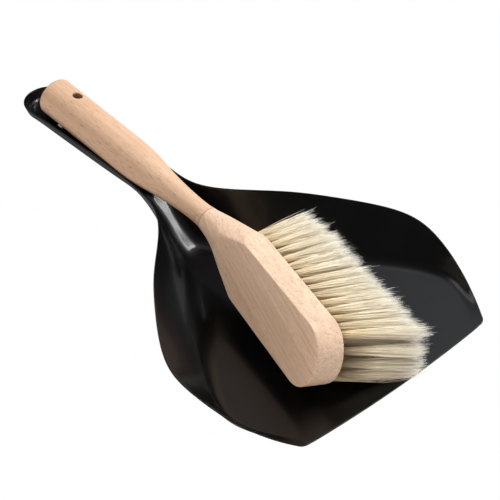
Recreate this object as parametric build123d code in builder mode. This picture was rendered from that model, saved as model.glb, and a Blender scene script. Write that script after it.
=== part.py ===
from build123d import *
import os
from math import atan2, ceil, cos, hypot, pi, radians, sin, sqrt, tan
from scipy.interpolate import CubicSpline

# Dust pan and brush set. The pan is pressed from one steel sheet and ends in an open trough for a
# handle. The beech brush lies in it on one side, with its handle in the trough. Millimetres. X runs
# across the pan, the lip is at -Y, and Z is up from the underside of the pan's floor.

# Pan: lengths from the lip at the front to the rounded end of the trough
sheet = 1.0
lip_reach = 122.0
lip_bow = 3.6
bowl_length = 237.0
trough_length = 107.0
base_skim = 0.2

# Pan: half widths and heights of the rim, and half widths of the floor between the folds
belly_half_width = 115.0
neck_half_width = 15.6
middle_half_width = 16.8
grip_half_width = 18.0
neck_rim_height = 43.7
middle_rim_height = 50.6
grip_rim_height = 54.0
neck_floor_half_width = 11.6
middle_floor_half_width = 13.9
grip_floor_half_width = 15.0
neck_fold_share = 0.62
middle_fold_share = 0.32
grip_fold_share = 0.30
lip_corner_round = 7.0
lip_corner_splay = 0.8

# Pan: the trough's floor climbs to its end, and a ramp joins it to the flat floor of the bowl
seat_height = 34.9
seat_slope = 6.5
level_length = 14.0
ramp_foot = 63.0
ramp_length = 64.0

# Bowl shape at even steps from the lip to the neck, as shares of the belly's half width, of the
# neck's rim height and again of the belly's half width. The fold between floor and wall takes a
# share of the shorter of the two.
bowl_rim_widths = [0.722, 0.853, 0.941, 0.992, 0.986, 0.882, 0.726, 0.541, 0.317, 0.166]
bowl_rim_heights = [0.033, 0.106, 0.256, 0.431, 0.564, 0.653, 0.730, 0.806, 0.868, 0.914]
bowl_floor_widths = [0.667, 0.800, 0.885, 0.829, 0.690, 0.537, 0.395, 0.252, 0.138, 0.090]
bowl_fold_shares = [0.60, 0.60, 0.40, 0.25, 0.20, 0.25, 0.35, 0.50, 0.72, 0.80]

# Brush handle
handle_length = 165.5
handle_radius = 13.9
handle_end_round = 3.0
grip_length = 71.5
taper_start = 99.5
taper_start_radius = 13.15
taper_middle = 116.5
taper_middle_radius = 10.75
waist_setback = 16.0
waist_radius = 7.9
seam_radius = 8.5
seam_slope = 0.15
hang_hole_radius = 3.6
hang_hole_setback = 23.7
hang_hole_turn = 4.5

# Brush head, measured from the seam with the handle
head_length = 166.0
head_thickness = 20.5
top_rise = 9.1
shoulder_half_width = 21.7
shoulder_reach = 58.0
tip_half_width = 23.4
tip_round_length = 20.5
flare_reaches = [10.0, 22.0, 40.0, 60.0, 80.0]
flare_drops = [2.4, 4.1, 4.5, 4.5, 4.5]
flare_radii = [10.6, 13.4, 18.7, 25.6, 33.5]

# Joint inside the neck
dowel_radius = 4.0
dowel_length = 36.0
glue_gap = 0.1

# Bright stud low on the handle
stud_radius = 2.2
stud_depth = 3.0
stud_proud = 1.2
stud_setback = 22.2
stud_turn = -51.5
stud_gap = 0.05

# How the brush lies in the pan
seat_gap = 0.4
seat_x = 0.15
handle_overhang = 9.9
brush_yaw = 1.6
brush_roll = 14.7
head_crank = 15.9

# Bristle bed, a shallow recess in the head's bristle face
bed_depth = 0.8
bed_gap = 0.1
bed_rear = 37.0
bed_rear_half_width = 14.5
bed_margin = 2.0

# Tufts, their drilled holes and the flat anchors that hold them
row_count = 5
tuft_pitch = 8.6
tuft_end_margin = 3.6
tuft_radius = 2.2
tuft_hole_gap = 0.15
tuft_depth = 7.0
anchor_height = 2.4
anchor_width = 3.6
anchor_thickness = 0.4
anchor_gap = 0.3

# Strands of a tuft
strands_per_tuft = 6
strand_sides = 3
strand_radius = 0.7
strand_tip_radius = 0.4
strand_ring = 1.5
strand_tip_ring = 2.4
strand_sink = 0.4
rear_strand_length = 49.0
front_strand_length = 65.0
fan_centre = 100.0
fan_along = 0.14
fan_up = 0.4
press_up = 0.05
floor_clearance = 0.4

# Places along the pan that follow from these sizes
lip_y = -lip_reach
neck_y = bowl_length - lip_reach
end_y = neck_y + trough_length
seat_y = end_y - level_length


# Dust pan
def even_steps(start, end, count):
    return [start + (end - start) * step / count for step in range(count + 1)]


def through(shares, scale, trough_values):
    """A smooth curve along the pan, through the bowl's values and the trough's, level at the end."""
    places = even_steps(lip_y, neck_y, len(shares)) + [neck_y + trough_length / 2, end_y]
    values = [share * scale for share in shares] + trough_values
    return CubicSpline(places, values, bc_type=("not-a-knot", (1, 0)))


rim_half_width = through(bowl_rim_widths, belly_half_width,
                         [neck_half_width, middle_half_width, grip_half_width])
rim_height = through(bowl_rim_heights, neck_rim_height,
                     [neck_rim_height, middle_rim_height, grip_rim_height])
floor_half_width = through(bowl_floor_widths, belly_half_width,
                           [neck_floor_half_width, middle_floor_half_width, grip_floor_half_width])
fold_share = through(bowl_fold_shares, 1, [neck_fold_share, middle_fold_share, grip_fold_share])


def trough_floor(y):
    """Height of the trough's floor, which climbs steadily and levels out at its end."""
    past = max(y - seat_y, 0)
    return seat_height + tan(radians(seat_slope)) * (y - neck_y - past ** 2 / (2 * level_length))


def ramp_share(y):
    """Smooth step from 0 at the ramp's foot to 1 at its top."""
    share = min(max((y - ramp_foot) / ramp_length, 0), 1)
    return share ** 3 * (10 - 15 * share + 6 * share ** 2)


def pan_section(y, half=False):
    """The sheet's cross-section at y: a floor with two folded-up walls, or its +X half."""
    floor = sheet + ramp_share(y) * (trough_floor(y) - sheet)
    floor_x = float(floor_half_width(y))
    rim_x = float(rim_half_width(y))
    rim_z = float(rim_height(y))
    wall_height = rim_z - floor
    wall_length = hypot(rim_x - floor_x, wall_height)
    lean = atan2(wall_height, rim_x - floor_x)
    fold = float(fold_share(y)) * min(floor_x, wall_length) / tan(lean / 2)
    skim = base_skim * (1 - ramp_share(y))
    under = floor - sheet - skim
    under_x = floor_x + sheet * tan(lean / 2) - skim / tan(lean)
    outer_rim = (rim_x + sheet * sin(lean), rim_z - sheet * cos(lean))
    with BuildSketch(Plane.XZ.offset(-y)) as section:
        with BuildLine():
            if half:
                inner = FilletPolyline((0, floor), (floor_x, floor), (rim_x, rim_z), radius=fold)
                outer = FilletPolyline((0, under), (under_x, under), outer_rim, radius=fold + sheet)
            else:
                inner = FilletPolyline((-rim_x, rim_z), (-floor_x, floor), (floor_x, floor),
                                       (rim_x, rim_z), radius=fold)
                outer = FilletPolyline((-outer_rim[0], outer_rim[1]), (-under_x, under),
                                       (under_x, under), outer_rim, radius=fold + sheet)
            Line(inner @ 0, outer @ 0)
            Line(inner @ 1, outer @ 1)
        make_face()
    return section.sketch


pan_stations = even_steps(lip_y, end_y, 40)

with BuildPart() as dust_pan:
    loft([pan_section(y) for y in pan_stations])
    revolve(pan_section(end_y, half=True), axis=Axis((0, end_y, 0), (0, 0, 1)), revolution_arc=180)
    with BuildSketch() as plan:
        with BuildLine():
            corner_y = lip_y + lip_bow
            corner_x = float(rim_half_width(corner_y))
            back_y = end_y + 2 * grip_half_width
            back_x = corner_x + lip_corner_splay * (back_y - corner_y)
            ThreePointArc((-corner_x, corner_y), (0, lip_y), (corner_x, corner_y))
            Polyline((corner_x, corner_y), (back_x, back_y), (-back_x, back_y), (-corner_x, corner_y))
        make_face()
        fillet(plan.vertices().group_by(Axis.Y)[0], lip_corner_round)
    extrude(amount=2 * grip_rim_height, mode=Mode.INTERSECT)
dust_pan.part.label = "dust_pan"

# Directions of the lying brush: along its handle towards the head, across it, and out of its crown
upright = Axis((0, 0, 0), (0, 0, 1))
along = Vector(0, -1, 0).rotate(Axis.X, seat_slope).rotate(upright, -brush_yaw)
level_across = Vector(0, 0, 1).rotate(Axis.X, seat_slope).rotate(upright, -brush_yaw)
across = level_across.rotate(Axis((0, 0, 0), along), -brush_roll)
head_along = along.rotate(Axis((0, 0, 0), across), -head_crank)
axis_height = trough_floor(seat_y) + (handle_radius + seat_gap) / cos(radians(seat_slope))
handle_end = Vector(seat_x, seat_y, axis_height) - along * handle_overhang
seam = handle_end + along * handle_length
handle_plane = Plane(handle_end, x_dir=along, z_dir=along.cross(across))
head_plane = Plane(seam, x_dir=head_along, z_dir=head_along.cross(across))
seam_plane = Plane(seam, x_dir=across, z_dir=along)

# Brush handle
with BuildPart() as brush_handle:
    with BuildSketch(handle_plane):
        with BuildLine():
            shoulder = (handle_end_round, handle_radius)
            waist_x = handle_length - waist_setback
            Line((0, 0), (0, handle_radius - handle_end_round))
            TangentArc((0, handle_radius - handle_end_round), shoulder, tangent=(0, 1))
            Line(shoulder, (grip_length, handle_radius))
            Spline((grip_length, handle_radius), (taper_start, taper_start_radius),
                   (taper_middle, taper_middle_radius), (waist_x, waist_radius),
                   (handle_length, seam_radius), tangents=[(1, 0), (1, seam_slope)])
            Line((handle_length, seam_radius), (handle_length, 0))
            Line((handle_length, 0), (0, 0))
        make_face()
    revolve(axis=Axis(handle_end, along))
    hole_out = across.rotate(Axis((0, 0, 0), along), hang_hole_turn)
    with BuildSketch(Plane(handle_end + along * hang_hole_setback, x_dir=along, z_dir=hole_out)):
        Circle(hang_hole_radius)
    extrude(amount=2 * handle_radius, both=True, mode=Mode.SUBTRACT)
    with BuildSketch(seam_plane):
        Circle(dowel_radius + glue_gap)
    extrude(amount=-dowel_length / 2 - glue_gap, mode=Mode.SUBTRACT)
    stud_out = handle_plane.z_dir.rotate(Axis((0, 0, 0), along), -stud_turn)
    stud_seat = handle_end + along * stud_setback + stud_out * (handle_radius - stud_depth)
    stud_plane = Plane(stud_seat, z_dir=stud_out)
    with BuildSketch(stud_plane.offset(-stud_gap)):
        Circle(stud_radius + stud_gap)
    extrude(amount=stud_depth + stud_proud, mode=Mode.SUBTRACT)
brush_handle.part.label = "brush_handle"

# Bright stud
with BuildPart() as magnet_stud:
    with BuildSketch(stud_plane):
        Circle(stud_radius)
    extrude(amount=stud_depth + stud_proud)
    fillet(magnet_stud.faces().sort_by(Axis(stud_seat, stud_out))[-1].edges(), stud_proud / 2)
magnet_stud.part.label = "magnet_stud"

# Dowel in the neck
with BuildPart() as neck_dowel:
    with BuildSketch(seam_plane):
        Circle(dowel_radius)
    extrude(amount=dowel_length / 2, both=True)
neck_dowel.part.label = "neck_dowel"

# Bristle bed: its recess in the head, and where the tufts stand on it
bristle_drop = head_thickness - top_rise
tip_start = head_length - tip_round_length
bed_plane = head_plane.offset(-bristle_drop)
bed_shoulder_half_width = shoulder_half_width - bed_margin
bed_tip_half_width = tip_half_width - bed_margin
bed_tip_length = tip_round_length - bed_margin


def bed_half_width(reach):
    """Half width of the bed at a reach along the head, from its rear edge to its rounded tip."""
    if reach < shoulder_reach:
        share = (reach - bed_rear) / (shoulder_reach - bed_rear)
        return bed_rear_half_width + share * (bed_shoulder_half_width - bed_rear_half_width)
    share = (reach - shoulder_reach) / (tip_start - shoulder_reach)
    return bed_shoulder_half_width + share * (bed_tip_half_width - bed_shoulder_half_width)


def bed_outline(inset):
    """Face of the bed in its own plane, drawn in by an inset all round."""
    rear = bed_rear + inset
    tip_half = bed_tip_half_width - inset
    shoulder_half = bed_shoulder_half_width - inset
    rear_half = bed_half_width(rear) - inset
    with BuildSketch() as outline:
        with BuildLine():
            Polyline((tip_start, tip_half), (shoulder_reach, shoulder_half), (rear, rear_half),
                     (rear, -rear_half), (shoulder_reach, -shoulder_half), (tip_start, -tip_half))
            EllipticalCenterArc((tip_start, 0), bed_tip_length - inset, tip_half, -90, arc_size=180)
        make_face()
    return outline.sketch


def row_share(row):
    """Where a row runs across the bed, from -1 to 1."""
    return (2 * row + 1) / row_count - 1


def tuft_spots(row):
    """Reach along the head and place across it of each tuft in a row."""
    share = row_share(row)
    first = bed_rear + tuft_end_margin
    last = tip_start + bed_tip_length * sqrt(1 - share ** 2) - tuft_end_margin
    steps = ceil((last - first) / tuft_pitch)
    reaches = even_steps(first, last, steps)
    return [(reach, share * bed_half_width(min(reach, tip_start))) for reach in reaches]


all_spots = [spot for row in range(row_count) for spot in tuft_spots(row)]

# Brush head: a round neck that flares out and is cut flat to the head's outline and thickness
neck_back = handle_radius
tuft_hole_depth = tuft_depth + anchor_height + 2 * anchor_gap
with BuildPart() as brush_head:
    with BuildSketch(seam_plane):
        Circle(seam_radius)
    for reach, drop, radius in zip(flare_reaches, flare_drops, flare_radii):
        turn = head_crank / 2 if reach == flare_reaches[0] else 0
        facing = head_along.rotate(Axis((0, 0, 0), across), turn)
        centre = head_plane.from_local_coords((reach, 0, -drop))
        with BuildSketch(Plane(centre, x_dir=across, z_dir=facing)):
            Circle(radius)
    loft()
    flare_end = head_plane.from_local_coords((flare_reaches[-1], 0, 0))
    with BuildSketch(Plane(flare_end, z_dir=head_along)):
        Circle(head_length)
    extrude(amount=head_length)
    with BuildSketch(head_plane.offset(top_rise)):
        with BuildLine():
            Polyline((tip_start, tip_half_width), (shoulder_reach, shoulder_half_width),
                     (-neck_back, shoulder_half_width), (-neck_back, -shoulder_half_width),
                     (shoulder_reach, -shoulder_half_width), (tip_start, -tip_half_width))
            EllipticalCenterArc((tip_start, 0), tip_round_length, tip_half_width, -90, arc_size=180)
        make_face()
    extrude(amount=-head_thickness, mode=Mode.INTERSECT)
    with BuildSketch(seam_plane):
        Circle(dowel_radius + glue_gap)
    extrude(amount=dowel_length / 2 + glue_gap, mode=Mode.SUBTRACT)
    with BuildSketch(bed_plane):
        add(bed_outline(0))
    extrude(amount=bed_depth, mode=Mode.SUBTRACT)
    with BuildSketch(bed_plane):
        with Locations(*all_spots):
            Circle(tuft_radius + tuft_hole_gap)
    extrude(amount=bed_depth + tuft_hole_depth, mode=Mode.SUBTRACT)
brush_head.part.label = "brush_head"

# Anchors, one at the bottom of each tuft hole
with BuildPart() as tuft_anchors:
    with BuildSketch(bed_plane.offset(bed_depth + tuft_depth + anchor_gap)):
        with Locations(*all_spots):
            Rectangle(anchor_width, anchor_thickness)
    extrude(amount=anchor_height)
tuft_anchors.part.label = "tuft_anchors"


# Bristle strands
def strand(reach, place, turn):
    """One strand of the tuft at this reach and place. The tufts fan out, the upper ones most
    at the rear. The lower ones are pressed up a little, and all stop above the pan's floor."""
    front_share = (reach - bed_rear) / (head_length - bed_rear)
    drop = rear_strand_length + front_share * (front_strand_length - rear_strand_length)
    ring_x = cos(turn)
    ring_y = sin(turn)
    fan_across = fan_up * (1 - front_share) if place > 0 else -press_up
    root = bed_plane.from_local_coords((reach + strand_ring * ring_x, place + strand_ring * ring_y, 0))
    tip = bed_plane.from_local_coords((reach + fan_along * (reach - fan_centre) + strand_tip_ring * ring_x,
                                       place * (1 + fan_across) + strand_tip_ring * ring_y, -drop))
    lowest = sheet + floor_clearance + strand_tip_radius
    if tip.Z < lowest:
        tip = root + (tip - root) * ((root.Z - lowest) / (root.Z - tip.Z))
    out = (tip - root).normalized()
    with BuildPart() as hair:
        with BuildSketch(Plane(root - out * strand_sink, x_dir=across.cross(out), z_dir=out)):
            RegularPolygon(strand_radius, strand_sides)
        with BuildSketch(Plane(tip, x_dir=across.cross(out), z_dir=out)):
            RegularPolygon(strand_tip_radius, strand_sides)
        loft()
    return hair.part


def tuft_row(row):
    """One row of tufts: a slice of the bed, the tufts' roots in their holes, and the strands."""
    spots = tuft_spots(row)
    low = 2 * row / row_count - 1
    high = low + 2 / row_count
    reaches = [bed_rear, shoulder_reach, tip_start, head_length]
    widths = [bed_half_width(min(reach, tip_start)) for reach in reaches]
    strands = [strand(reach, place, 2 * pi * turn / strands_per_tuft)
               for reach, place in spots for turn in range(strands_per_tuft)]
    with BuildPart() as tufts:
        with BuildSketch(bed_plane):
            with BuildLine():
                near = [(reach, low * width + bed_gap / 2) for reach, width in zip(reaches, widths)]
                far = [(reach, high * width - bed_gap / 2) for reach, width in zip(reaches, widths)]
                Polyline(*near, *reversed(far), close=True)
            make_face()
            add(bed_outline(bed_gap), mode=Mode.INTERSECT)
        extrude(amount=bed_depth)
        with BuildSketch(bed_plane):
            with Locations(*spots):
                Circle(tuft_radius)
        extrude(amount=bed_depth + tuft_depth)
        add(strands)
    tufts.part.label = f"tuft_row_{row + 1}"
    return tufts.part


os.makedirs("parts", exist_ok=True)
pieces = [dust_pan.part, brush_handle.part, brush_head.part, neck_dowel.part, magnet_stud.part,
          tuft_anchors.part]
pieces += [tuft_row(row) for row in range(row_count)]
for piece in pieces:
    export_step(piece, f"parts/{piece.label}.step")
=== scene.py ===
import math

import bmesh
import bpy
import numpy as np
from mathutils import Matrix, Vector


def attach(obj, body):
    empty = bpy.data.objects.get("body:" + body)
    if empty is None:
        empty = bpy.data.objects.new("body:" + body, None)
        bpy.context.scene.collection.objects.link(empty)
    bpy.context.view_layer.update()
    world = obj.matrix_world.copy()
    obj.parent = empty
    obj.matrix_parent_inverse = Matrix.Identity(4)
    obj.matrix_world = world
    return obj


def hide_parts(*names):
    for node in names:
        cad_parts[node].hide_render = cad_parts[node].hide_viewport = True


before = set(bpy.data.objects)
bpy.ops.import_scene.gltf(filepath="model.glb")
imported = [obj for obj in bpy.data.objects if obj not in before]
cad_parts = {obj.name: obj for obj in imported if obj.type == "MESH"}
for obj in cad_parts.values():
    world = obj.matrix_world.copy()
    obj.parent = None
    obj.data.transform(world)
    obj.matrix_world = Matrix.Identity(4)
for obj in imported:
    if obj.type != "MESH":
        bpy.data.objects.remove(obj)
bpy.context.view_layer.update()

MM = 0.001
rng = np.random.default_rng(7)

# Sizes in millimetres, the same as the solids'
SHEET = 1.0
LIP_Y, NECK_Y, END_Y = -122.0, 115.0, 222.0
BELLY_HALF, NECK_RIM = 115.0, 43.7
RIM_WIDTHS = [0.722, 0.853, 0.941, 0.992, 0.986, 0.882, 0.726, 0.541, 0.317, 0.166]
RIM_HEIGHTS = [0.033, 0.106, 0.256, 0.431, 0.564, 0.653, 0.730, 0.806, 0.868, 0.914]
FLOOR_WIDTHS = [0.667, 0.800, 0.885, 0.829, 0.690, 0.537, 0.395, 0.252, 0.138, 0.090]
FOLD_SHARES = [0.60, 0.60, 0.40, 0.25, 0.20, 0.25, 0.35, 0.50, 0.72, 0.80]
TROUGH_RIM, TROUGH_RISE = [15.6, 16.8, 18.0], [43.7, 50.6, 54.0]
TROUGH_FLOOR, TROUGH_FOLD = [11.6, 13.9, 15.0], [0.62, 0.32, 0.30]
RAMP_FOOT, RAMP_LENGTH = 63.0, 64.0
SEAT_HEIGHT, SEAT_SLOPE, LEVEL_LENGTH = 34.9, math.radians(6.5), 14.0
LIP_BOW, LIP_CORNER, LIP_SPLAY = 3.6, 7.0, math.atan(0.8)
HANDLE_LENGTH, HANDLE_RADIUS, HANDLE_ROUND = 165.5, 13.9, 3.0
GRIP_LENGTH, WAIST_SETBACK, WAIST_RADIUS, SEAM_RADIUS, SEAM_SLOPE = 71.5, 16.0, 7.9, 8.5, 0.15
HOLE_RADIUS, HOLE_SETBACK, HOLE_TURN = 3.6, 23.7, math.radians(4.5)
HEAD_LENGTH, HEAD_THICK, TOP_RISE = 166.0, 20.5, 9.1
SHOULDER_HALF, SHOULDER_REACH, TIP_HALF, TIP_ROUND = 21.7, 58.0, 23.4, 20.5
SEAT_GAP, SEAT_X, SEAT_Y, OVERHANG = 0.4, 0.15, 208.0, 9.9
YAW, ROLL, CRANK = math.radians(1.6), math.radians(14.7), math.radians(15.9)
BED_REAR, BED_REAR_HALF, BED_MARGIN = 37.0, 14.5, 2.0
ROWS, TUFT_PITCH, TUFT_END = 5, 8.6, 3.6
REAR_LENGTH, FRONT_LENGTH = 49.0, 65.0
FAN_CENTRE, FAN_ALONG, FAN_UP, PRESS_UP = 100.0, 0.14, 0.4, 0.05


# Geometry helpers
def smooth_curve(places, values, start=None, end=0.0):
    """A cubic curve through the points, with its slope given at the end and, if known, at the start."""
    x = np.array(places, float)
    y = np.array(values, float)
    step = np.diff(x)
    rise = np.diff(y) / step
    grid = np.zeros((len(x), len(x)))
    right = np.zeros(len(x))
    for i in range(1, len(x) - 1):
        grid[i, i - 1:i + 2] = step[i], 2 * (step[i - 1] + step[i]), step[i - 1]
        right[i] = 3 * (step[i] * rise[i - 1] + step[i - 1] * rise[i])
    if start is None:
        reach = step[0] + step[1]
        grid[0, :2] = step[1], reach
        right[0] = ((step[0] + 2 * reach) * step[1] * rise[0] + step[0] ** 2 * rise[1]) / reach
    else:
        grid[0, 0] = 1
        right[0] = start
    grid[-1, -1] = 1
    right[-1] = end
    slope = np.linalg.solve(grid, right)

    def at(q):
        q = np.asarray(q, float)
        i = np.clip(np.searchsorted(x, q) - 1, 0, len(step) - 1)
        t = (q - x[i]) / step[i]
        return ((1 + 2 * t) * (1 - t) ** 2 * y[i] + t * (1 - t) ** 2 * step[i] * slope[i]
                + t * t * (3 - 2 * t) * y[i + 1] + t * t * (t - 1) * step[i] * slope[i + 1])
    return at


def turned(vector, axis, angle):
    return np.array(Matrix.Rotation(angle, 3, Vector(axis)) @ Vector(vector))


def add_mesh(name, points, faces, material, merge=False):
    """A smooth-shaded object from points in millimetres."""
    mesh = bpy.data.meshes.new(name)
    mesh.from_pydata((np.asarray(points, float) * MM).tolist(), [], faces)
    if merge:
        work = bmesh.new()
        work.from_mesh(mesh)
        bmesh.ops.remove_doubles(work, verts=work.verts, dist=2e-6)
        bmesh.ops.dissolve_degenerate(work, edges=work.edges, dist=1e-7)
        bmesh.ops.recalc_face_normals(work, faces=work.faces)
        work.to_mesh(mesh)
        work.free()
    mesh.polygons.foreach_set("use_smooth", [True] * len(mesh.polygons))
    mesh.materials.append(material)
    piece = bpy.data.objects.new(name, mesh)
    bpy.context.scene.collection.objects.link(piece)
    return piece


def grid_faces(rows, columns, first=0, wrap=False):
    """Quads over a grid of points stored row by row."""
    last = columns if wrap else columns - 1
    faces = []
    for i in range(rows - 1):
        a = first + i * columns
        for j in range(last):
            k = (j + 1) % columns
            faces.append((a + j, a + k, a + columns + k, a + columns + j))
    return faces


def set_vectors(mesh, name, values):
    attribute = mesh.attributes.new(name, "FLOAT_VECTOR", "POINT")
    attribute.data.foreach_set("vector", np.asarray(values, np.float32).ravel())


def set_floats(mesh, name, values):
    attribute = mesh.attributes.new(name, "FLOAT", "POINT")
    attribute.data.foreach_set("value", np.asarray(values, np.float32).ravel())


def points_of(mesh):
    co = np.zeros(len(mesh.vertices) * 3, np.float32)
    mesh.vertices.foreach_get("co", co)
    return co.reshape(-1, 3).astype(float) / MM


# Material helpers
class Nodes:
    """A short way to write a node tree around one Principled shader."""

    def __init__(self, name):
        self.material = bpy.data.materials.new(name)
        self.material.use_nodes = True
        self.tree = self.material.node_tree
        self.shader = self.tree.nodes["Principled BSDF"]

    def add(self, kind, inputs=(), **settings):
        node = self.tree.nodes.new(kind)
        for key, value in settings.items():
            setattr(node, key, value)
        for key, value in dict(inputs).items():
            self.put(node.inputs[key], value)
        return node

    def put(self, socket, value):
        if isinstance(value, bpy.types.NodeSocket):
            self.tree.links.new(value, socket)
        else:
            socket.default_value = value

    def attribute(self, name):
        return self.add("ShaderNodeAttribute", attribute_name=name)

    def coordinates(self):
        return self.add("ShaderNodeTexCoord").outputs["Object"]

    def scaled(self, vector, scale):
        return self.add("ShaderNodeVectorMath", {0: vector, 1: scale}, operation="MULTIPLY").outputs[0]

    def noise(self, vector, scale=1.0, detail=2.0, rough=0.5, twist=0.0):
        return self.add("ShaderNodeTexNoise", {"Vector": vector, "Scale": scale, "Detail": detail,
                                               "Roughness": rough, "Distortion": twist}).outputs["Fac"]

    def ramp(self, value, *stops):
        node = self.add("ShaderNodeValToRGB", {"Fac": value})
        while len(node.color_ramp.elements) < len(stops):
            node.color_ramp.elements.new(0.5)
        for element, (place, colour) in zip(node.color_ramp.elements, stops):
            element.position = place
            element.color = (*colour, 1) if len(colour) == 3 else colour
        return node.outputs["Color"]

    def span(self, value, low, high, to_low=0.0, to_high=1.0):
        return self.add("ShaderNodeMapRange", {"Value": value, "From Min": low, "From Max": high,
                                               "To Min": to_low, "To Max": to_high}).outputs[0]

    def math(self, operation, a, b=0.0):
        return self.add("ShaderNodeMath", {0: a, 1: b}, operation=operation).outputs[0]

    def mix(self, share, a, b, blend="MIX"):
        node = self.add("ShaderNodeMix", data_type="RGBA", blend_type=blend)
        self.put(node.inputs["Factor"], share)
        self.put(node.inputs[6], a)
        self.put(node.inputs[7], b)
        return node.outputs[2]

    def bump(self, height, strength, distance):
        node = self.add("ShaderNodeBump", {"Height": height, "Strength": strength, "Distance": distance})
        self.put(self.shader.inputs["Normal"], node.outputs[0])

    def set(self, **values):
        names = {"colour": "Base Color", "roughness": "Roughness", "metallic": "Metallic",
                 "specular": "Specular IOR Level", "coat": "Coat Weight", "coat_roughness": "Coat Roughness",
                 "sheen": "Sheen Weight", "ior": "IOR"}
        for key, value in values.items():
            self.put(self.shader.inputs[names[key]], value)
        return self.material


def pan_material():
    n = Nodes("pan_black")
    place = n.coordinates()
    cloud = n.noise(place, 28, 3)
    fine = n.noise(place, 420, 3)
    n.bump(fine, 0.06, 0.00006)
    rough = n.span(n.math("ADD", n.math("MULTIPLY", cloud, 0.6), n.math("MULTIPLY", fine, 0.4)),
                   0.3, 0.7, 0.28, 0.34)
    colour = n.mix(n.span(cloud, 0.35, 0.7), (0.0016, 0.0016, 0.0020, 1), (0.0026, 0.0025, 0.0028, 1))
    return n.set(colour=colour, roughness=rough, specular=0.5, coat=0.35, coat_roughness=0.11)


def wood_material(name, tint=(1, 1, 1), figure=0.55, own_grain=True):
    n = Nodes(name)
    grain = n.attribute("grain").outputs["Vector"]
    if not own_grain:
        grain = n.scaled(n.coordinates(), (1 / MM, 1 / MM, 1 / MM))
    broad = n.noise(n.scaled(grain, (0.010, 0.07, 0.05)), 1, 3, 0.55, 0.5)
    streak = n.noise(n.scaled(grain, (0.010, 0.55, 0.40)), 1, 4, 0.65, 0.15)
    fibre = n.noise(n.scaled(grain, (0.10, 5.5, 5.5)), 1, 2, 0.6)
    dash = n.noise(n.scaled(grain, (0.17, 2.1, 0.85)), 1, 1, 0.4)
    body = n.ramp(broad, (0.28, (0.645, 0.420, 0.280)), (0.50, (0.700, 0.472, 0.325)),
                  (0.74, (0.745, 0.520, 0.370)))
    body = n.mix(n.span(streak, 0.42, 0.64, 0.0, figure), body, (0.490, 0.295, 0.185, 1))
    body = n.mix(n.span(fibre, 0.35, 0.70, 0.0, 0.18), body, (0.780, 0.590, 0.440, 1))
    flecks = n.span(dash, 0.615, 0.665, 0.0, 0.45)
    body = n.mix(flecks, body, (0.350, 0.195, 0.110, 1))
    body = n.mix(1.0, body, (*tint, 1), "MULTIPLY")
    # Painted shade: points marked inner, on the hanging hole's wall, are darkened towards a dark brown.
    inner = n.attribute("inner").outputs["Fac"]
    body = n.mix(n.math("MULTIPLY", inner, 0.75), body, (0.150, 0.080, 0.045, 1))
    n.bump(n.math("SUBTRACT", fibre, n.math("MULTIPLY", flecks, 0.8)), 0.22, 0.00012)
    return n.set(colour=body, roughness=n.span(fibre, 0.3, 0.7, 0.44, 0.58), specular=0.35)


def bristle_material():
    n = Nodes("bristle")
    reach = n.attribute("reach").outputs["Fac"]
    tone = n.attribute("tone").outputs["Fac"]
    # The dark brown at the roots, fading out by about a tenth of the length, is painted shade where the fibres
    # enter the head.
    body = n.ramp(reach, (0.0, (0.48, 0.30, 0.14)), (0.12, (0.86, 0.68, 0.42)), (0.40, (0.97, 0.86, 0.65)),
                  (0.76, (0.98, 0.90, 0.75)), (1.0, (0.98, 0.95, 0.88)))
    body = n.mix(n.span(tone, 0.0, 1.0, 0.0, 0.25), body, (0.82, 0.66, 0.43, 1))
    # Painted shade: the fibres of the inner rows, marked deep, are darkened towards their roots, where the
    # outer rows shade them.
    deep = n.math("MULTIPLY", n.attribute("deep").outputs["Fac"], n.span(reach, 0.05, 0.45, 0.8, 0.0))
    body = n.mix(deep, body, (0.16, 0.085, 0.035, 1))
    speck = n.noise(n.coordinates(), 1400, 2)
    body = n.mix(n.span(speck, 0.35, 0.75, 0.0, 0.12), body, (0.95, 0.92, 0.84, 1))
    return n.set(colour=body, roughness=n.span(speck, 0.3, 0.7, 0.42, 0.56), specular=0.35)


def steel_material():
    n = Nodes("bright_steel")
    place = n.coordinates()
    brushed = n.noise(n.scaled(place, (400, 400, 6000)), 1, 3)
    colour = n.mix(brushed, (0.72, 0.72, 0.73, 1), (0.82, 0.82, 0.83, 1))
    n.bump(brushed, 0.05, 0.00005)
    return n.set(colour=colour, roughness=n.span(brushed, 0.3, 0.7, 0.20, 0.34), metallic=0.45)


def glue_material():
    n = Nodes("glue_line")
    patch = n.noise(n.coordinates(), 900, 3)
    colour = n.mix(patch, (0.200, 0.105, 0.055, 1), (0.300, 0.170, 0.095, 1))
    return n.set(colour=colour, roughness=n.span(patch, 0.3, 0.7, 0.55, 0.70), specular=0.3)


black = pan_material()
# The head's cooler, paler tint is a painted sheen, standing in for the white gloss the key light would add if
# it showed in glossy rays.
beech = wood_material("beech", tint=(0.99, 1.03, 1.08))
handle_beech = wood_material("handle_beech", tint=(0.86, 0.825, 0.80), figure=0.28)
dowel = wood_material("dowel_beech", own_grain=False)
bristle = bristle_material()
steel = steel_material()
glue = glue_material()

# Dust pan: one sheet, section by section, with rounded edges
pan_places = [LIP_Y + (NECK_Y - LIP_Y) * k / 10 for k in range(10)] + [NECK_Y, (NECK_Y + END_Y) / 2, END_Y]
rim_half = smooth_curve(pan_places, [s * BELLY_HALF for s in RIM_WIDTHS] + TROUGH_RIM)
rim_height = smooth_curve(pan_places, [s * NECK_RIM for s in RIM_HEIGHTS] + TROUGH_RISE)
floor_half = smooth_curve(pan_places, [s * BELLY_HALF for s in FLOOR_WIDTHS] + TROUGH_FLOOR)
fold_share = smooth_curve(pan_places, FOLD_SHARES + TROUGH_FOLD)


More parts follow.
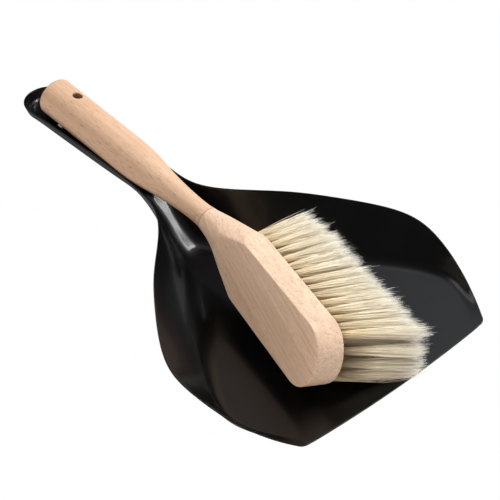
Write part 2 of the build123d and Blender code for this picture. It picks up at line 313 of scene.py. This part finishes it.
def trough_floor(y):
    past = np.maximum(y - SEAT_Y, 0)
    return SEAT_HEIGHT + math.tan(SEAT_SLOPE) * (y - NECK_Y - past ** 2 / (2 * LEVEL_LENGTH))


def pan_floor(y):
    share = np.clip((y - RAMP_FOOT) / RAMP_LENGTH, 0, 1)
    return SHEET + share ** 3 * (10 - 15 * share + 6 * share ** 2) * (trough_floor(y) - SHEET)


# Points round the half section: over the floor, fold and wall, round the rim and back below
FLOOR, FOLD, WALL = 0, 1, 2
inside = [(FLOOR, s) for s in np.linspace(0, 1, 18)]
inside += [(FOLD, s) for s in np.linspace(0, 1, 21)[1:]]
inside += [(WALL, s) for s in np.linspace(0, 1, 17)[1:]]
round_rim = [(WALL, 1, math.cos(a), math.sin(a)) for a in np.linspace(0, math.pi, 9)[1:-1]]
over = [(*s, 1, 0) for s in inside]
below = [(*s, -1, 0) for s in inside[::-1]]
kind, share, lift, outward = np.array(over + round_rim + below).T


def sheet_points(y, half):
    """Points (x, z) of the half section at the places y, at half a thickness from the sheet's middle."""
    floor, foot = pan_floor(y), floor_half(y)
    wall_x, wall_z = rim_half(y) - foot, rim_height(y) - floor
    lean, wall = np.arctan2(wall_z, wall_x), np.hypot(wall_x, wall_z)
    run = fold_share(y) * np.minimum(foot, wall)
    fold = run / np.tan(lean / 2)
    turn = np.select([kind == FLOOR, kind == FOLD], [0, share], 1) * lean
    climb = np.where(kind == WALL, share, 0) * (wall - SHEET / 2 - run)
    off = half * lift - SHEET / 2
    x = np.where(kind == FLOOR, share, 1) * (foot - run) + fold * np.sin(turn) - off * np.sin(turn)
    z = floor + fold * (1 - np.cos(turn)) + off * np.cos(turn)
    climb = climb + half * outward
    return x + climb * np.cos(lean), z + climb * np.sin(lean)


def lip_front(x):
    """Place of the lip's edge at x: a slight bow with rounded corners."""
    corner_x = float(rim_half(LIP_Y + LIP_BOW))
    corner_run = LIP_CORNER * math.tan((math.pi / 2 - LIP_SPLAY) / 2)
    into = np.clip(x - corner_x + corner_run, 0, LIP_CORNER * math.cos(LIP_SPLAY))
    return LIP_Y + LIP_BOW * (x / corner_x) ** 2 + LIP_CORNER - np.sqrt(LIP_CORNER ** 2 - into ** 2)


def pan_piece():
    round_lip = np.linspace(math.pi / 2, 0, 7)
    steps = np.concatenate([SHEET / 2 * (1 - np.sin(round_lip)), np.linspace(SHEET / 2, 14, 28)[1:],
                            np.linspace(14, END_Y - LIP_Y, 170)[1:]])[:, None]
    half = np.full(steps.shape, SHEET / 2)
    half[:7, 0] *= np.cos(round_lip)
    front = np.full(len(kind), LIP_Y + LIP_BOW)
    for _ in range(60):
        front = (front + lip_front(np.abs(sheet_points(front, SHEET / 2)[0]))) / 2
    y = LIP_Y + steps + (front - LIP_Y) * np.maximum(0, 1 - steps / 14)
    x, z = sheet_points(y, half)
    right = np.stack([x, y, z], 2)
    left = right[:, -2:0:-1] * (-1, 1, 1)
    loops = np.concatenate([right, left], 1)
    faces = grid_faces(loops.shape[0], loops.shape[1], wrap=True)
    points = loops.reshape(-1, 3)
    x, z = sheet_points(np.array(END_Y), SHEET / 2)
    sweep = [np.column_stack([x * math.cos(a), END_Y + x * math.sin(a), z])
             for a in np.linspace(0, math.pi, 61)]
    faces += grid_faces(len(sweep), len(x), first=len(points))
    return add_mesh("pan_sheet", np.vstack([points] + sweep), faces, black, merge=True)


pan = pan_piece()
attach(pan, "pan")
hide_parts("dust_pan")

# Directions of the lying brush
X, Z = (1, 0, 0), (0, 0, 1)
along = turned(turned((0, -1, 0), X, SEAT_SLOPE), Z, -YAW)
across = turned(turned(turned((0, 0, 1), X, SEAT_SLOPE), Z, -YAW), along, -ROLL)
head_along = turned(along, across, -CRANK)
side = np.cross(along, across)
crown = np.cross(head_along, across)
seat_height = float(trough_floor(SEAT_Y)) + (HANDLE_RADIUS + SEAT_GAP) / math.cos(SEAT_SLOPE)
handle_end = np.array((SEAT_X, SEAT_Y, seat_height)) - along * OVERHANG
seam = handle_end + along * HANDLE_LENGTH


def handle_points(local):
    local = np.asarray(local, float)
    return handle_end + local[:, :1] * along + local[:, 1:2] * across + local[:, 2:3] * side


def head_points(local):
    local = np.asarray(local, float)
    return seam + local[:, :1] * head_along + local[:, 1:2] * across + local[:, 2:3] * crown


def lathe(profile, segments):
    """Points (reach, across, side) of a turned shape, and its faces."""
    turns = np.linspace(0, 2 * math.pi, segments, endpoint=False)
    points = [(x, r * math.cos(a), r * math.sin(a)) for x, r in profile for a in turns]
    return np.array(points), grid_faces(len(profile), segments, wrap=True)


# Brush handle, turned, with a hanging hole
taper = smooth_curve([GRIP_LENGTH, 99.5, 116.5, HANDLE_LENGTH - WAIST_SETBACK, HANDLE_LENGTH],
                     [HANDLE_RADIUS, 13.15, 10.75, WAIST_RADIUS, SEAM_RADIUS], 0.0, SEAM_SLOPE)


def handle_piece():
    flat = HANDLE_RADIUS - HANDLE_ROUND
    profile = [(0, 1e-4), (0, flat / 3), (0, 2 * flat / 3)]
    profile += [(HANDLE_ROUND * (1 - math.cos(a)), flat + HANDLE_ROUND * math.sin(a))
                for a in np.linspace(0, math.pi / 2, 13)]
    profile += [(x, HANDLE_RADIUS) for x in np.linspace(HANDLE_ROUND, GRIP_LENGTH, 36)[1:]]
    profile += [(x, float(taper(x))) for x in np.linspace(GRIP_LENGTH, HANDLE_LENGTH - 0.35, 72)[1:]]
    profile += [(HANDLE_LENGTH, SEAM_RADIUS - 0.45), (HANDLE_LENGTH, 1e-4)]
    points, faces = lathe(profile, 128)
    piece = add_mesh("handle_turned", handle_points(points), faces, handle_beech, merge=True)
    deep = HANDLE_RADIUS + 3
    bore = [(-deep, 1e-4), (-deep, HOLE_RADIUS + 1.6), (-HANDLE_RADIUS + 0.1, HOLE_RADIUS + 0.42),
            (-HANDLE_RADIUS + 0.5, HOLE_RADIUS + 0.14), (-HANDLE_RADIUS + 1.1, HOLE_RADIUS)]
    bore += [(-z, r) for z, r in bore[::-1]]
    points, faces = lathe(bore, 64)
    up, over = points[:, 0], points[:, 2]
    points = np.column_stack([HOLE_SETBACK + points[:, 1],
                              up * math.cos(HOLE_TURN) - over * math.sin(HOLE_TURN),
                              up * math.sin(HOLE_TURN) + over * math.cos(HOLE_TURN)])
    cutter = add_mesh("hole_cutter", handle_points(points), faces, handle_beech, merge=True)
    cut = piece.modifiers.new("hole", "BOOLEAN")
    cut.operation, cut.object, cut.solver = "DIFFERENCE", cutter, "EXACT"
    bpy.context.view_layer.update()
    shaped = bpy.data.meshes.new_from_object(piece.evaluated_get(bpy.context.evaluated_depsgraph_get()))
    piece.modifiers.clear()
    piece.data = shaped
    bpy.data.objects.remove(cutter)
    shaped.set_sharp_from_angle(angle=math.radians(34))
    offset = points_of(shaped) - handle_end
    set_vectors(shaped, "grain", np.column_stack([offset @ along, offset @ side + 40, offset @ across]))
    hole_out = turned(across, along, HOLE_TURN)
    from_hole = offset - HOLE_SETBACK * along
    away = np.linalg.norm(from_hole - np.outer(from_hole @ hole_out, hole_out), axis=1)
    # inner marks the hole's wall for the painted shade in the wood.
    set_floats(shaped, "inner", away < HOLE_RADIUS + 0.1)
    return piece


handle = handle_piece()
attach(handle, "brush")
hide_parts("brush_handle")

# Brush head: a round neck flaring into a flat block, with softened edges
flare_radius = smooth_curve([0, 10, 22, 40, 60, 80], [8.5, 10.6, 13.4, 18.7, 25.6, 33.5], 0.17, 0.42)
flare_drop = smooth_curve([0, 10, 22, 40, 60, 80], [0, 2.4, 4.1, 4.5, 4.5, 4.5], 0.28, 0.0)
TIP_START = HEAD_LENGTH - TIP_ROUND
MIDDLE = TOP_RISE - HEAD_THICK / 2
SOFT = 2.6


def head_depth(p):
    """How far a point of the head's frame is outside its surface, with all edges softened."""
    u, w, v = p[..., 0], p[..., 1], p[..., 2]
    widened = np.clip((u - SHOULDER_REACH) / (TIP_START - SHOULDER_REACH), 0, 1)
    half = SHOULDER_HALF + widened * (TIP_HALF - SHOULDER_HALF)
    past = np.maximum(u - TIP_START, 0)
    oval = np.sqrt((past / TIP_ROUND) ** 2 + (w / TIP_HALF) ** 2 + 1e-9)
    outline = np.where(u > TIP_START, (oval - 1) * TIP_ROUND, np.abs(w) - half)
    near = np.clip(u, 0, 80)
    flare = np.hypot(w, v + flare_drop(near)) - flare_radius(near) - np.maximum(u - 80, 0) * 2
    parts = np.stack([v - TOP_RISE, TOP_RISE - HEAD_THICK - v, outline, flare])
    peak = parts.max(0)
    return peak + np.log(np.exp((parts - peak) * SOFT).sum(0)) / SOFT


def head_piece():
    corner = math.atan2(HEAD_THICK / 2, TIP_HALF)
    turns = list(np.linspace(0, 2 * math.pi, 120, endpoint=False))
    for c in (corner, math.pi - corner, math.pi + corner, -corner):
        turns += list((c + np.linspace(-0.12, 0.12, 28)) % (2 * math.pi))
    turns = np.array(sorted(set(np.round(turns, 5))))
    flat = np.stack([np.zeros_like(turns), np.cos(turns), np.sin(turns)], 1)
    reaches = np.concatenate([np.linspace(0.35, 80, 90), np.linspace(80, TIP_START, 30)[1:]])
    centres, rays = [], []
    for u in reaches:
        tilt = CRANK * max(0, 1 - u / 20)
        drop = float(flare_drop(min(u, 80))) * max(0, 1 - u / 60) - MIDDLE * min(1, u / 60)
        centres.append((u, 0, -drop))
        rays.append(np.stack([math.sin(tilt) * flat[:, 2], flat[:, 1], math.cos(tilt) * flat[:, 2]], 1))
    for lift in np.linspace(0, math.pi / 2, 46)[1:]:
        centres.append((TIP_START, 0, MIDDLE))
        rays.append(np.stack([np.full(len(turns), math.sin(lift)), math.cos(lift) * flat[:, 1],
                              math.cos(lift) * flat[:, 2]], 1))
    centres = np.array(centres)[:, None, :]
    rays = np.array(rays)
    low = np.zeros(rays.shape[:2])
    high = np.full(rays.shape[:2], 40.0)
    for _ in range(42):
        middle = (low + high) / 2
        outside = head_depth(centres + rays * middle[..., None]) > 0
        high = np.where(outside, middle, high)
        low = np.where(outside, low, middle)
    skin = centres + rays * high[..., None]
    start = centres[0] + (skin[0] - centres[0]) * 0.95 - (0.35, 0, 0)
    local = np.concatenate([np.repeat(centres[0] - (0.35, 0, 0), len(turns), 0), start, skin.reshape(-1, 3)])
    faces = grid_faces(len(skin) + 2, len(turns), wrap=True)
    piece = add_mesh("head_block", head_points(local), faces, beech, merge=True)
    offset = points_of(piece.data) - seam
    u, w, v = offset @ head_along, offset @ across, offset @ crown
    lean = math.radians(-10)
    set_vectors(piece.data, "grain", np.column_stack([u * math.cos(lean) + w * math.sin(lean) + 300,
                                                      w * math.cos(lean) - u * math.sin(lean), v]))
    return piece


head = head_piece()
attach(head, "brush")
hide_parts("brush_head")


# Thin brown line of glue in the joint between handle and head
def glue_piece():
    inner = SEAM_RADIUS - 0.32
    steps = [(-0.5, -1), (-0.5, 0), (-0.2, 0.14), (0.2, 0.14), (0.5, 0), (0.5, -1), (-0.5, -1)]
    points, faces = lathe([(HANDLE_LENGTH + x, inner + r) for x, r in steps], 96)
    return add_mesh("glue_line", handle_points(points), faces, glue, merge=True)


line = glue_piece()
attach(line, "brush")


# Bristles: tufts of fine tapering fibres in five rows
def bed_half(reach):
    shoulder = SHOULDER_HALF - BED_MARGIN
    near = BED_REAR_HALF + (reach - BED_REAR) / (SHOULDER_REACH - BED_REAR) * (shoulder - BED_REAR_HALF)
    far = shoulder + (reach - SHOULDER_REACH) / (TIP_START - SHOULDER_REACH) * (TIP_HALF - SHOULDER_HALF)
    return near if reach < SHOULDER_REACH else far


def tuft_spots(row):
    share = (2 * row + 1) / ROWS - 1
    first = BED_REAR + TUFT_END
    last = TIP_START + (TIP_ROUND - BED_MARGIN) * math.sqrt(1 - share ** 2) - TUFT_END
    steps = math.ceil((last - first) / TUFT_PITCH)
    reaches = [first + (last - first) * k / steps for k in range(steps + 1)]
    return [(reach, share * bed_half(min(reach, TIP_START))) for reach in reaches]


FIBRES, RINGS, SIDES = 300, 7, 3
LOWEST, FRONT = SHEET + 0.35, LIP_Y - 6.0


def bristle_row(row):
    spots = np.repeat(np.array(tuft_spots(row)), FIBRES, 0)
    count = len(spots)
    tufts = count // FIBRES
    radius = 2.1 * np.sqrt(rng.random(count))
    turn = rng.random(count) * 2 * math.pi
    ring = np.stack([radius * np.cos(turn), radius * np.sin(turn)], 1)
    clump_of = rng.integers(0, 11, count) + 11 * np.repeat(np.arange(tufts), FIBRES)
    clumps = rng.normal(0, 1.35, (tufts * 11, 2))
    wander = rng.normal(0, 0.35, (tufts, 2))
    spread = ring * 0.95 + clumps[clump_of] * 0.85 + np.repeat(wander, FIBRES, 0)
    spread += rng.normal(0, 0.55, (count, 2))
    spread[:, 0] *= 1.3
    reach, place = spots[:, 0], spots[:, 1]
    front = (reach - BED_REAR) / (HEAD_LENGTH - BED_REAR)
    odd = rng.random(tufts * 11)
    clump_length = rng.normal(0, 0.030, tufts * 11)
    clump_length += np.where(odd < 0.015, 0.16, np.where(odd < 0.07, 0.08, 0.0))
    drop = REAR_LENGTH + (FRONT_LENGTH - REAR_LENGTH) * front
    drop *= 0.955 + clump_length[clump_of] - 0.035 * np.abs(rng.normal(0, 1, count)) + 0.03 * rng.random(count)
    drop *= np.where(rng.random(count) < 0.025, 1 + 0.10 * rng.random(count), 1.0)
    fan = np.where(place > 0, FAN_UP * (1 - front), -PRESS_UP)
    root = np.stack([reach + ring[:, 0], place + ring[:, 1], np.full(count, TOP_RISE - HEAD_THICK + 0.4)], 1)
    tip = np.stack([reach + FAN_ALONG * (reach - FAN_CENTRE) + ring[:, 0], place * (1 + fan) + ring[:, 1],
                    TOP_RISE - HEAD_THICK - drop], 1)
    root, tip = head_points(root), head_points(tip)
    spread = spread[:, :1] * head_along + spread[:, 1:] * across
    share = np.linspace(0, 1, RINGS) ** 0.9
    bow = rng.normal(0, 0.55, (count, 3))
    spine = root[:, None] + (tip - root)[:, None] * share[None, :, None]
    spine += spread[:, None] * share[None, :, None] ** 1.3
    spine += bow[:, None] * np.sin(math.pi * share)[None, :, None]
    floor = LOWEST + rng.random(count)[:, None] * 2.2
    spine[..., 2] = np.where(spine[..., 2] < floor, floor - 0.12 * (floor - spine[..., 2]), spine[..., 2])
    spine[..., 2] = np.maximum(spine[..., 2], LOWEST)
    spine[..., 1] = np.where(spine[..., 1] < FRONT, FRONT + 0.3 * (spine[..., 1] - FRONT), spine[..., 1])
    heading = (tip - root) / np.linalg.norm(tip - root, axis=1)[:, None]
    one = np.cross(heading, across)
    one /= np.linalg.norm(one, axis=1)[:, None]
    two = np.cross(heading, one)
    thick = np.interp(share, [0, 0.55, 0.85, 1], [0.15, 0.14, 0.09, 0.02])
    phase = rng.random(count) * 2 * math.pi
    ring_points = []
    for k in range(SIDES):
        a = phase + 2 * math.pi * k / SIDES
        outward = np.cos(a)[:, None] * one + np.sin(a)[:, None] * two
        ring_points.append(spine + outward[:, None] * thick[None, :, None])
    points = np.stack(ring_points, 2).reshape(-1, 3)
    base = (np.arange(count) * RINGS * SIDES)[:, None]
    quads = np.array(grid_faces(RINGS, SIDES, wrap=True))
    faces = (base[:, :, None] + quads[None]).reshape(-1, 4).tolist()
    caps = (base + np.array([[(RINGS - 1) * SIDES + k for k in range(SIDES)]])).tolist()
    piece = add_mesh(f"bristles_row_{row + 1}", points, faces + caps, bristle)
    set_floats(piece.data, "reach", np.repeat(np.tile(share, count), SIDES))
    tone = 0.65 * rng.random(count) + 0.35 * np.repeat(rng.random(tufts), FIBRES)
    set_floats(piece.data, "tone", np.repeat(tone, RINGS * SIDES))
    # deep marks the inner rows for the painted shade at their roots.
    set_floats(piece.data, "deep", np.full(count * RINGS * SIDES, float(0 < row < ROWS - 1)))
    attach(piece, "brush")
    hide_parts(f"tuft_row_{row + 1}")


for row in range(ROWS):
    bristle_row(row)

# Finishes of the pieces kept from the solids
for node, material in (("neck_dowel", dowel), ("magnet_stud", steel), ("tuft_anchors", steel)):
    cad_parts[node].data.materials.clear()
    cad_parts[node].data.materials.append(material)

# Floor, world, lights and camera
scene = bpy.context.scene
scene.view_settings.view_transform = "Standard"


def floor_piece():
    n = Nodes("floor_white")
    path = n.add("ShaderNodeLightPath")
    seen = n.math("MAXIMUM", path.outputs["Is Camera Ray"],
                  n.math("MAXIMUM", path.outputs["Is Glossy Ray"], path.outputs["Is Transmission Ray"]))
    n.set(colour=(0.86, 0.86, 0.86, 1), roughness=0.9, specular=0.1)
    glow = n.add("ShaderNodeEmission", {"Color": (1, 1, 1, 1),
                                        "Strength": n.span(path.outputs["Is Glossy Ray"], 0, 1, 1.0, 0.2)})
    both = n.add("ShaderNodeMixShader", {0: n.math("MULTIPLY", seen, 0.992), 1: n.shader.outputs[0],
                                         2: glow.outputs[0]})
    n.tree.links.new(both.outputs[0], n.tree.nodes["Material Output"].inputs["Surface"])
    size = 4000
    corners = [(x * size, y * size, -0.05) for x, y in ((-1, -1), (1, -1), (1, 1), (-1, 1))]
    piece = add_mesh("floor", corners, [(0, 1, 2, 3)], n.material)


floor_piece()

world = bpy.data.worlds.new("studio")
scene.world = world
world.use_nodes = True
tree = world.node_tree
back = tree.nodes["Background"]
path = tree.nodes.new("ShaderNodeLightPath")
back.inputs["Color"].default_value = (1.0, 0.97, 0.92, 1)
back.inputs["Strength"].default_value = 0.40
last = back
for ray, light in (("Is Glossy Ray", 0.03), ("Is Camera Ray", 1.0)):
    plain = tree.nodes.new("ShaderNodeBackground")
    plain.inputs["Color"].default_value = (1, 1, 1, 1)
    plain.inputs["Strength"].default_value = light
    choose = tree.nodes.new("ShaderNodeMixShader")
    tree.links.new(path.outputs[ray], choose.inputs[0])
    tree.links.new(last.outputs[0], choose.inputs[1])
    tree.links.new(plain.outputs[0], choose.inputs[2])
    last = choose
tree.links.new(last.outputs[0], tree.nodes["World Output"].inputs["Surface"])


def area_light(name, place, aim, size, power, colour, turn=0.0, glossy=True):
    data = bpy.data.lights.new(name, "AREA")
    data.shape, data.size, data.size_y = "RECTANGLE", size[0], size[1]
    data.energy, data.color = power, colour
    lamp = bpy.data.objects.new(name, data)
    lamp.location = place
    facing = (Vector(aim) - Vector(place)).to_track_quat("-Z", "Y").to_matrix()
    lamp.rotation_euler = (facing @ Matrix.Rotation(math.radians(turn), 3, "Z")).to_euler()
    lamp.visible_glossy = glossy
    scene.collection.objects.link(lamp)
    return lamp


GREY, BROWN, DAY, WARM = (0.93, 0.95, 1.06), (1.0, 0.78, 0.68), (0.94, 0.98, 1.0), (1.0, 0.92, 0.84)
area_light("key", (0.93, -0.10, 1.14), (0, 0, 0.02), (0.9, 0.6), 30, DAY, glossy=False)
area_light("fill", (-1.3, -0.2, 0.9), (0, 0, 0.02), (1.2, 1.0), 8, WARM, glossy=False)
area_light("side_card", (0.305, 0.040, 0.25), (0.305, 0.040, 0), (0.33, 0.27), 0.125, GREY, turn=24)
area_light("brown_card", (0.10, 0.145, 0.25), (0.10, 0.145, 0), (0.16, 0.13), 0.026, BROWN, turn=24)
area_light("back_card", (-0.20, 0.95, 0.98), (0.09, -0.09, 0), (0.62, 0.55), 1.3, GREY)
strip = area_light("strip", (0.90, -0.33, 1.26), (0, 0.08, 0.01), (1.35, 0.07), 9.5, (1, 1, 1), turn=30)
strip.visible_diffuse = False

eye = Vector((-0.80520, -0.81234, 0.95948))
aim = Vector((0.00734, 0.02451, 0.02500))
lens = bpy.data.cameras.new("camera")
lens.sensor_width, lens.lens = 36.0, 158.92
lens.clip_start, lens.clip_end = 0.05, 20
camera = bpy.data.objects.new("camera", lens)
camera.location = eye
level = (aim - eye).to_track_quat("-Z", "Y").to_matrix()
camera.rotation_euler = (level @ Matrix.Rotation(-0.0062, 3, "Z")).to_euler()
scene.collection.objects.link(camera)
scene.camera = camera
